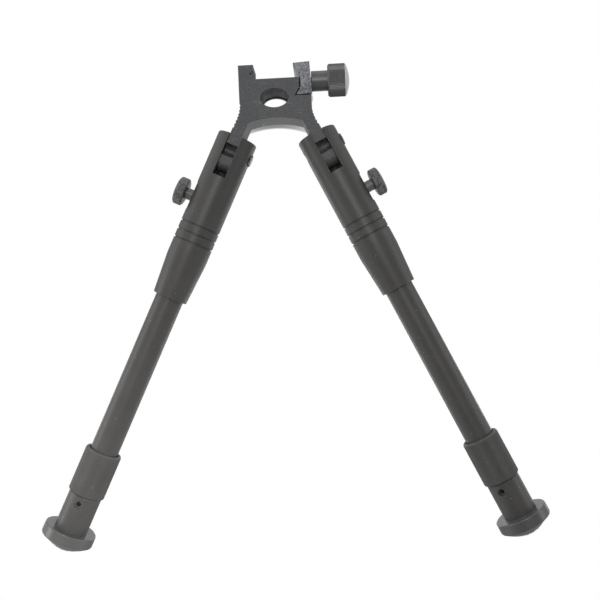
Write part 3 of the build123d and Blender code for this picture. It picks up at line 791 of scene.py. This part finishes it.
# Foot pads: smooth discs of hard black rubber with a domed underside.
# Each is moulded in one piece and pressed onto the spigot of its stem.
foot_radius, foot_rim_end, foot_bore, foot_bore_end = 11.6, 185.6, 5.01, 185.82
foot_rise, foot_fall, foot_upper_round, foot_lower_round = 5.2, 1.7, 0.5, 0.3
foot_finish = anodised(
    "foot_rubber", (0.053, 0.0525, 0.052), (0.077, 0.076, 0.075), 0.28, dust=0.1, wear_and_highlight=0.0
)
for name, side in legs:
    outline = [(foot_bore, stem_end), (foot_radius, stem_end)]
    outline += dome(foot_radius, foot_rim_end, foot_rise, 12, foot_fall)
    outline += [(0, foot_bore_end), (foot_bore, foot_bore_end)]
    foot = turned(outline, 96, [(1, foot_upper_round, 3), (2, foot_lower_round, 2)])
    finished(
        f"{name}_foot_domed", foot, on_leg(side), f"{name}_extension", foot_finish,
        f"{name}_foot_pad",
    )

# Inner pieces: springs, spring seats, brass pads, collets, sliding rods, guide bushes and roll pins.
# They are drawn, turned or moulded, and sit inside the legs, where little of them is seen.
# They keep their CAD shape and get their materials here.
def plain_finish(name, dark, light, roughness, metallic, grain_per_metre=900, rough_spread=0.15):
    """A turned or moulded finish with a faint grain."""
    material = bpy.data.materials.new(name)
    material.use_nodes = True
    tree = material.node_tree
    shader = tree.nodes["Principled BSDF"]
    place = tree.nodes.new("ShaderNodeTexCoord").outputs["Object"]
    grain = noise_node(tree, place, grain_per_metre, 3)
    tree.links.new(mix_colours(tree, grain, dark, light), shader.inputs["Base Color"])
    rough = math_node(tree, "MULTIPLY_ADD", grain, rough_spread, roughness)
    tree.links.new(rough, shader.inputs["Roughness"])
    shader.inputs["Metallic"].default_value = metallic
    return material


# The inner blackened steel is painted lighter than the outer, as painted light inside the stems' cross
# holes, where the roll pins sit.
inner_steel_painted_light = plain_finish("black_steel_inner_painted_light", (0.04, 0.0395, 0.039), (0.07, 0.0692, 0.0683), 0.6, 0.0)
spring_wire = plain_finish("spring_steel", (0.42, 0.42, 0.43), (0.6, 0.6, 0.61), 0.22, 1.0)
ground_rod = plain_finish("rod_steel", (0.46, 0.46, 0.47), (0.6, 0.6, 0.61), 0.26, 1.0)
turned_brass = plain_finish("brass", (0.62, 0.43, 0.16), (0.75, 0.55, 0.25), 0.25, 1.0)
bearing_plastic = plain_finish("bearing_plastic", (0.62, 0.61, 0.57), (0.74, 0.73, 0.69), 0.4, 0.0)
for name, side in legs:
    for node, finish in (
        ("detent_spring", spring_wire),
        ("spring_seat", inner_steel_painted_light),
        ("lock_pad", turned_brass),
        ("collet", bearing_plastic),
        ("extension_rod", ground_rod),
        ("guide_bush", bearing_plastic),
        ("roll_pin", inner_steel_painted_light),
    ):
        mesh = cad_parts[f"{name}_{node}"].data
        mesh.materials.clear()
        mesh.materials.append(finish)

# White card: a slip of the white paper that the bipod lies on, close behind the head.
# The camera sees it plain white, with the head's shadow as a crescent in the oval hole and a band
# under the arch; it fades out below, throws light on the head and is clear from its back.
def smooth_step(tree, value, start, end, low=0.0, high=1.0):
    """Eases from low to high between two places."""
    node = tree.nodes.new("ShaderNodeMapRange")
    node.interpolation_type = "SMOOTHSTEP"
    for label, number in (("From Min", start), ("From Max", end), ("To Min", low), ("To Max", high)):
        node.inputs[label].default_value = number
    tree.links.new(value, node.inputs["Value"])
    return node.outputs[0]


def squares(tree, one, two):
    """The sum of two squares."""
    return math_node(
        tree, "ADD", math_node(tree, "MULTIPLY", one, one), math_node(tree, "MULTIPLY", two, two)
    )


def seen(tree):
    """Whether a ray comes from the camera, also through what is clear."""
    path = tree.nodes.new("ShaderNodeLightPath").outputs
    return math_node(tree, "ADD", path["Is Camera Ray"], path["Is Transmission Ray"], clamp=True)


def shader_node(tree, kind, **settings):
    """A shader node with its settings."""
    node = tree.nodes.new(kind)
    for label, value in settings.items():
        node.inputs[label].default_value = value
    return node


def mix_shaders(tree, share, one, two):
    """A Mix Shader node."""
    node = tree.nodes.new("ShaderNodeMixShader")
    for socket, value in zip(node.inputs, (share, one, two)):
        tree.links.new(value, socket)
    return node.outputs[0]


card_wide, card_high, card_behind, card_z = 30, 27, 8.6, -7.7
card = bmesh.new()
bmesh.ops.create_grid(card, x_segments=1, y_segments=1, size=0.5)
bmesh.ops.scale(card, verts=card.verts[:], vec=(card_wide, card_high, 1))
card.transform(Matrix.Scale(mm, 4) @ Matrix.Translation((0, card_behind, card_z)) @ upright)
mesh = bpy.data.meshes.new("white_card")
card.to_mesh(mesh)
card.free()
paper = bpy.data.materials.new("white card")
paper.use_nodes = True
tree = paper.node_tree
tree.nodes.remove(tree.nodes["Principled BSDF"])
axes = tree.nodes.new("ShaderNodeSeparateXYZ")
tree.links.new(tree.nodes.new("ShaderNodeTexCoord").outputs["Object"], axes.inputs[0])
across, up = axes.outputs["X"], axes.outputs["Z"]
white_down_to = -16.5
under_arch = math_node(tree, "LESS_THAN", up, mm * white_down_to)

# The band under the arch follows the arch's circle, a little to the left, and pales to both sides.
band_left, band_fades, band_gone = 1.0, arch_radius - 0.85, arch_radius - 1.95
band_half, darkest_left, darkest, paling = 11, 0.09, 0.26, 0.18
above_centre = math_node(tree, "SUBTRACT", up, mm * (arch_top - arch_radius))
from_centre = squares(tree, above_centre, math_node(tree, "ADD", across, mm * band_left))
from_centre = math_node(tree, "SQRT", from_centre)
below_band = smooth_step(tree, from_centre, mm * band_gone, mm * band_fades, 1.0, 0.0)
from_darkest = math_node(tree, "MULTIPLY_ADD", across, 1 / (mm * band_half), darkest_left)
grey = math_node(tree, "MULTIPLY", from_darkest, from_darkest)
grey = math_node(tree, "MULTIPLY_ADD", grey, paling, darkest)
arch_shadow = tree.nodes.new("ShaderNodeEmission")
tree.links.new(grey, arch_shadow.inputs["Strength"])

# The crescent is what an oval like the hole, set lower and to the left, leaves over in the hole.
oval_left, oval_z, soft_from, soft_to, hole_reach = 0.05, -9.1, 0.8, 1.05, 2.2
oval_x = math_node(tree, "MULTIPLY_ADD", across, 1 / (mm * hole_wide), oval_left)
oval_up = math_node(tree, "MULTIPLY_ADD", up, 1 / (mm * hole_high), -oval_z / hole_high)
from_oval = squares(tree, oval_x, oval_up)
near_hole = math_node(tree, "LESS_THAN", from_oval, hole_reach)
in_crescent = smooth_step(tree, from_oval, soft_from, soft_to)
in_crescent = math_node(tree, "MULTIPLY", in_crescent, near_hole)
hole_shadow = shader_node(tree, "ShaderNodeBsdfDiffuse", Color=(0.2, 0.19, 0.18, 1))

white = tree.nodes.new("ShaderNodeEmission")
plain = shader_node(tree, "ShaderNodeBsdfDiffuse", Color=(0.8, 0.8, 0.8, 1))
twice = tree.nodes.new("ShaderNodeAddShader")
for socket in twice.inputs:
    tree.links.new(plain.outputs[0], socket)
clear = tree.nodes.new("ShaderNodeBsdfTransparent")
glossy = tree.nodes.new("ShaderNodeLightPath").outputs["Is Glossy Ray"]
behind = tree.nodes.new("ShaderNodeNewGeometry").outputs["Backfacing"]
shaded = mix_shaders(tree, under_arch, white.outputs[0], arch_shadow.outputs[0])
shaded = mix_shaders(tree, in_crescent, shaded, hole_shadow.outputs[0])
mirrored = mix_shaders(tree, glossy, plain.outputs[0], twice.outputs[0])
shown = mix_shaders(tree, seen(tree), mirrored, shaded)
passed = math_node(tree, "MAXIMUM", math_node(tree, "MULTIPLY", glossy, under_arch), behind)
passed = math_node(tree, "MAXIMUM", passed, below_band)
surface = mix_shaders(tree, passed, shown, clear.outputs[0])
tree.links.new(surface, tree.nodes["Material Output"].inputs["Surface"])
mesh.materials.append(paper)
white_card = bpy.data.objects.new("white_card", mesh)
bpy.context.scene.collection.objects.link(white_card)
white_card.visible_shadow = False

# Light: a pale room, brightest at the sides, dimmer behind and dimmest round the camera, which itself
# sees plain white. Lamps stand by the camera and low at the sides, strips at the sides and behind draw
# the legs' rims, boxes light from above and behind, and a spot lights the left foot.
scene = bpy.context.scene
world = bpy.data.worlds.new("pale room")
world.use_nodes = True
scene.world = world
tree = world.node_tree
axes = tree.nodes.new("ShaderNodeSeparateXYZ")
tree.links.new(tree.nodes.new("ShaderNodeTexCoord").outputs["Generated"], axes.inputs[0])
paler_right, paler_above = -0.1, 0.25
camera_side, far_side = (-0.8, -0.05, 0.23, 0.95), (0.15, 0.75, 1.0, 0.42)
room = math_node(tree, "MULTIPLY_ADD", axes.outputs["X"], paler_right, 1.0)
room = math_node(tree, "MULTIPLY_ADD", axes.outputs["Z"], paler_above, room)
for start, end, low, high in (camera_side, far_side):
    walls = smooth_step(tree, axes.outputs["Y"], start, end, low, high)
    room = math_node(tree, "MULTIPLY", walls, room)
backdrop = mix_colours(tree, seen(tree), room, (1.0, 1.0, 1.0))
tree.links.new(backdrop, tree.nodes["Background"].inputs["Color"])


def set_lamp(lamp, place, target):
    """Sets a lamp in its place and points it."""
    holder = bpy.data.objects.new(lamp.name, lamp)
    scene.collection.objects.link(holder)
    holder.location = place
    holder.rotation_euler = (Vector(target) - Vector(place)).to_track_quat("-Z", "Y").to_euler()
    holder.visible_camera = False
    return holder


middle = (0, 0, -0.09)
for name, place, size, power in (
    ("lamp by the camera", (-0.02, -0.95, 0.055), (0.12, 0.12), 1.8),
    ("lamp above the camera", (0.10, -0.95, 0.38), (0.1, 0.1), 1.0),
    ("box above", (-0.35, -0.85, 0.55), (0.9, 0.8), 2.0),
    ("left strip", (-0.55, -0.1, -0.06), (0.15, 0.4), 0.6),
    ("right strip", (0.55, -0.1, 0.0), (0.15, 0.4), 0.3),
    ("lamp low on the left", (-0.3, -0.3, -0.3), (0.3, 0.3), 0.08),
    ("lamp low on the right", (0.25, -0.4, -0.3), (0.3, 0.3), 0.1),
    ("strip behind on the left", (-0.42, 0.5, -0.12), (0.3, 0.16), 0.4),
    ("strip behind on the right", (0.42, 0.5, -0.12), (0.3, 0.16), 0.35),
    ("low strip behind on the left", (-0.32, 0.5, -0.38), (0.2, 0.16), 0.36),
    ("low strip behind on the right", (0.32, 0.5, -0.38), (0.2, 0.16), 0.36),
    ("box behind", (0.05, 0.95, 0.15), (0.9, 0.9), 1.4),
    ("low box behind", (0.0, 0.9, -0.22), (0.3, 0.16), 0.35),
):
    lamp = bpy.data.lights.new(name, "AREA")
    lamp.shape = "RECTANGLE"
    lamp.size, lamp.size_y = size
    lamp.energy = power
    set_lamp(lamp, place, middle)
spot_place, spot_cone, left_foot = (0.06, -0.6, -0.14), math.radians(19), (-0.095, 0, -0.19)
lamp = bpy.data.lights.new("lamp on the left foot", "SPOT")
lamp.energy, lamp.spot_size, lamp.spot_blend, lamp.shadow_soft_size = 26.0, spot_cone, 1.0, 0.08
set_lamp(lamp, spot_place, left_foot).visible_glossy = False

# Camera: square in front of the bipod and near it, turned a little round it and tilted, as in the photo.
# It looks up at the head and down at the feet, and its lens takes in the whole bipod.
turned_round, tilted_up, rolled = math.radians(2.005), math.radians(0.629), math.radians(2.505)
aim, offset = Vector((0, 0, -0.096)), Vector((0.007017, -0.37518, -0.000597))
level = Matrix.Rotation(turned_round, 4, "Z") @ Matrix.Rotation(tilted_up, 4, "X")
lens = bpy.data.cameras.new("camera")
lens.lens, lens.sensor_width = 51, 36
lens.clip_start, lens.clip_end = 0.01, 10
camera = bpy.data.objects.new("camera", lens)
scene.collection.objects.link(camera)
place = Matrix.Translation(aim + level.to_3x3() @ offset)
camera.matrix_world = place @ level @ Matrix.Rotation(rolled, 4, "Y") @ upright
scene.camera = camera
scene.view_settings.view_transform = "Standard"
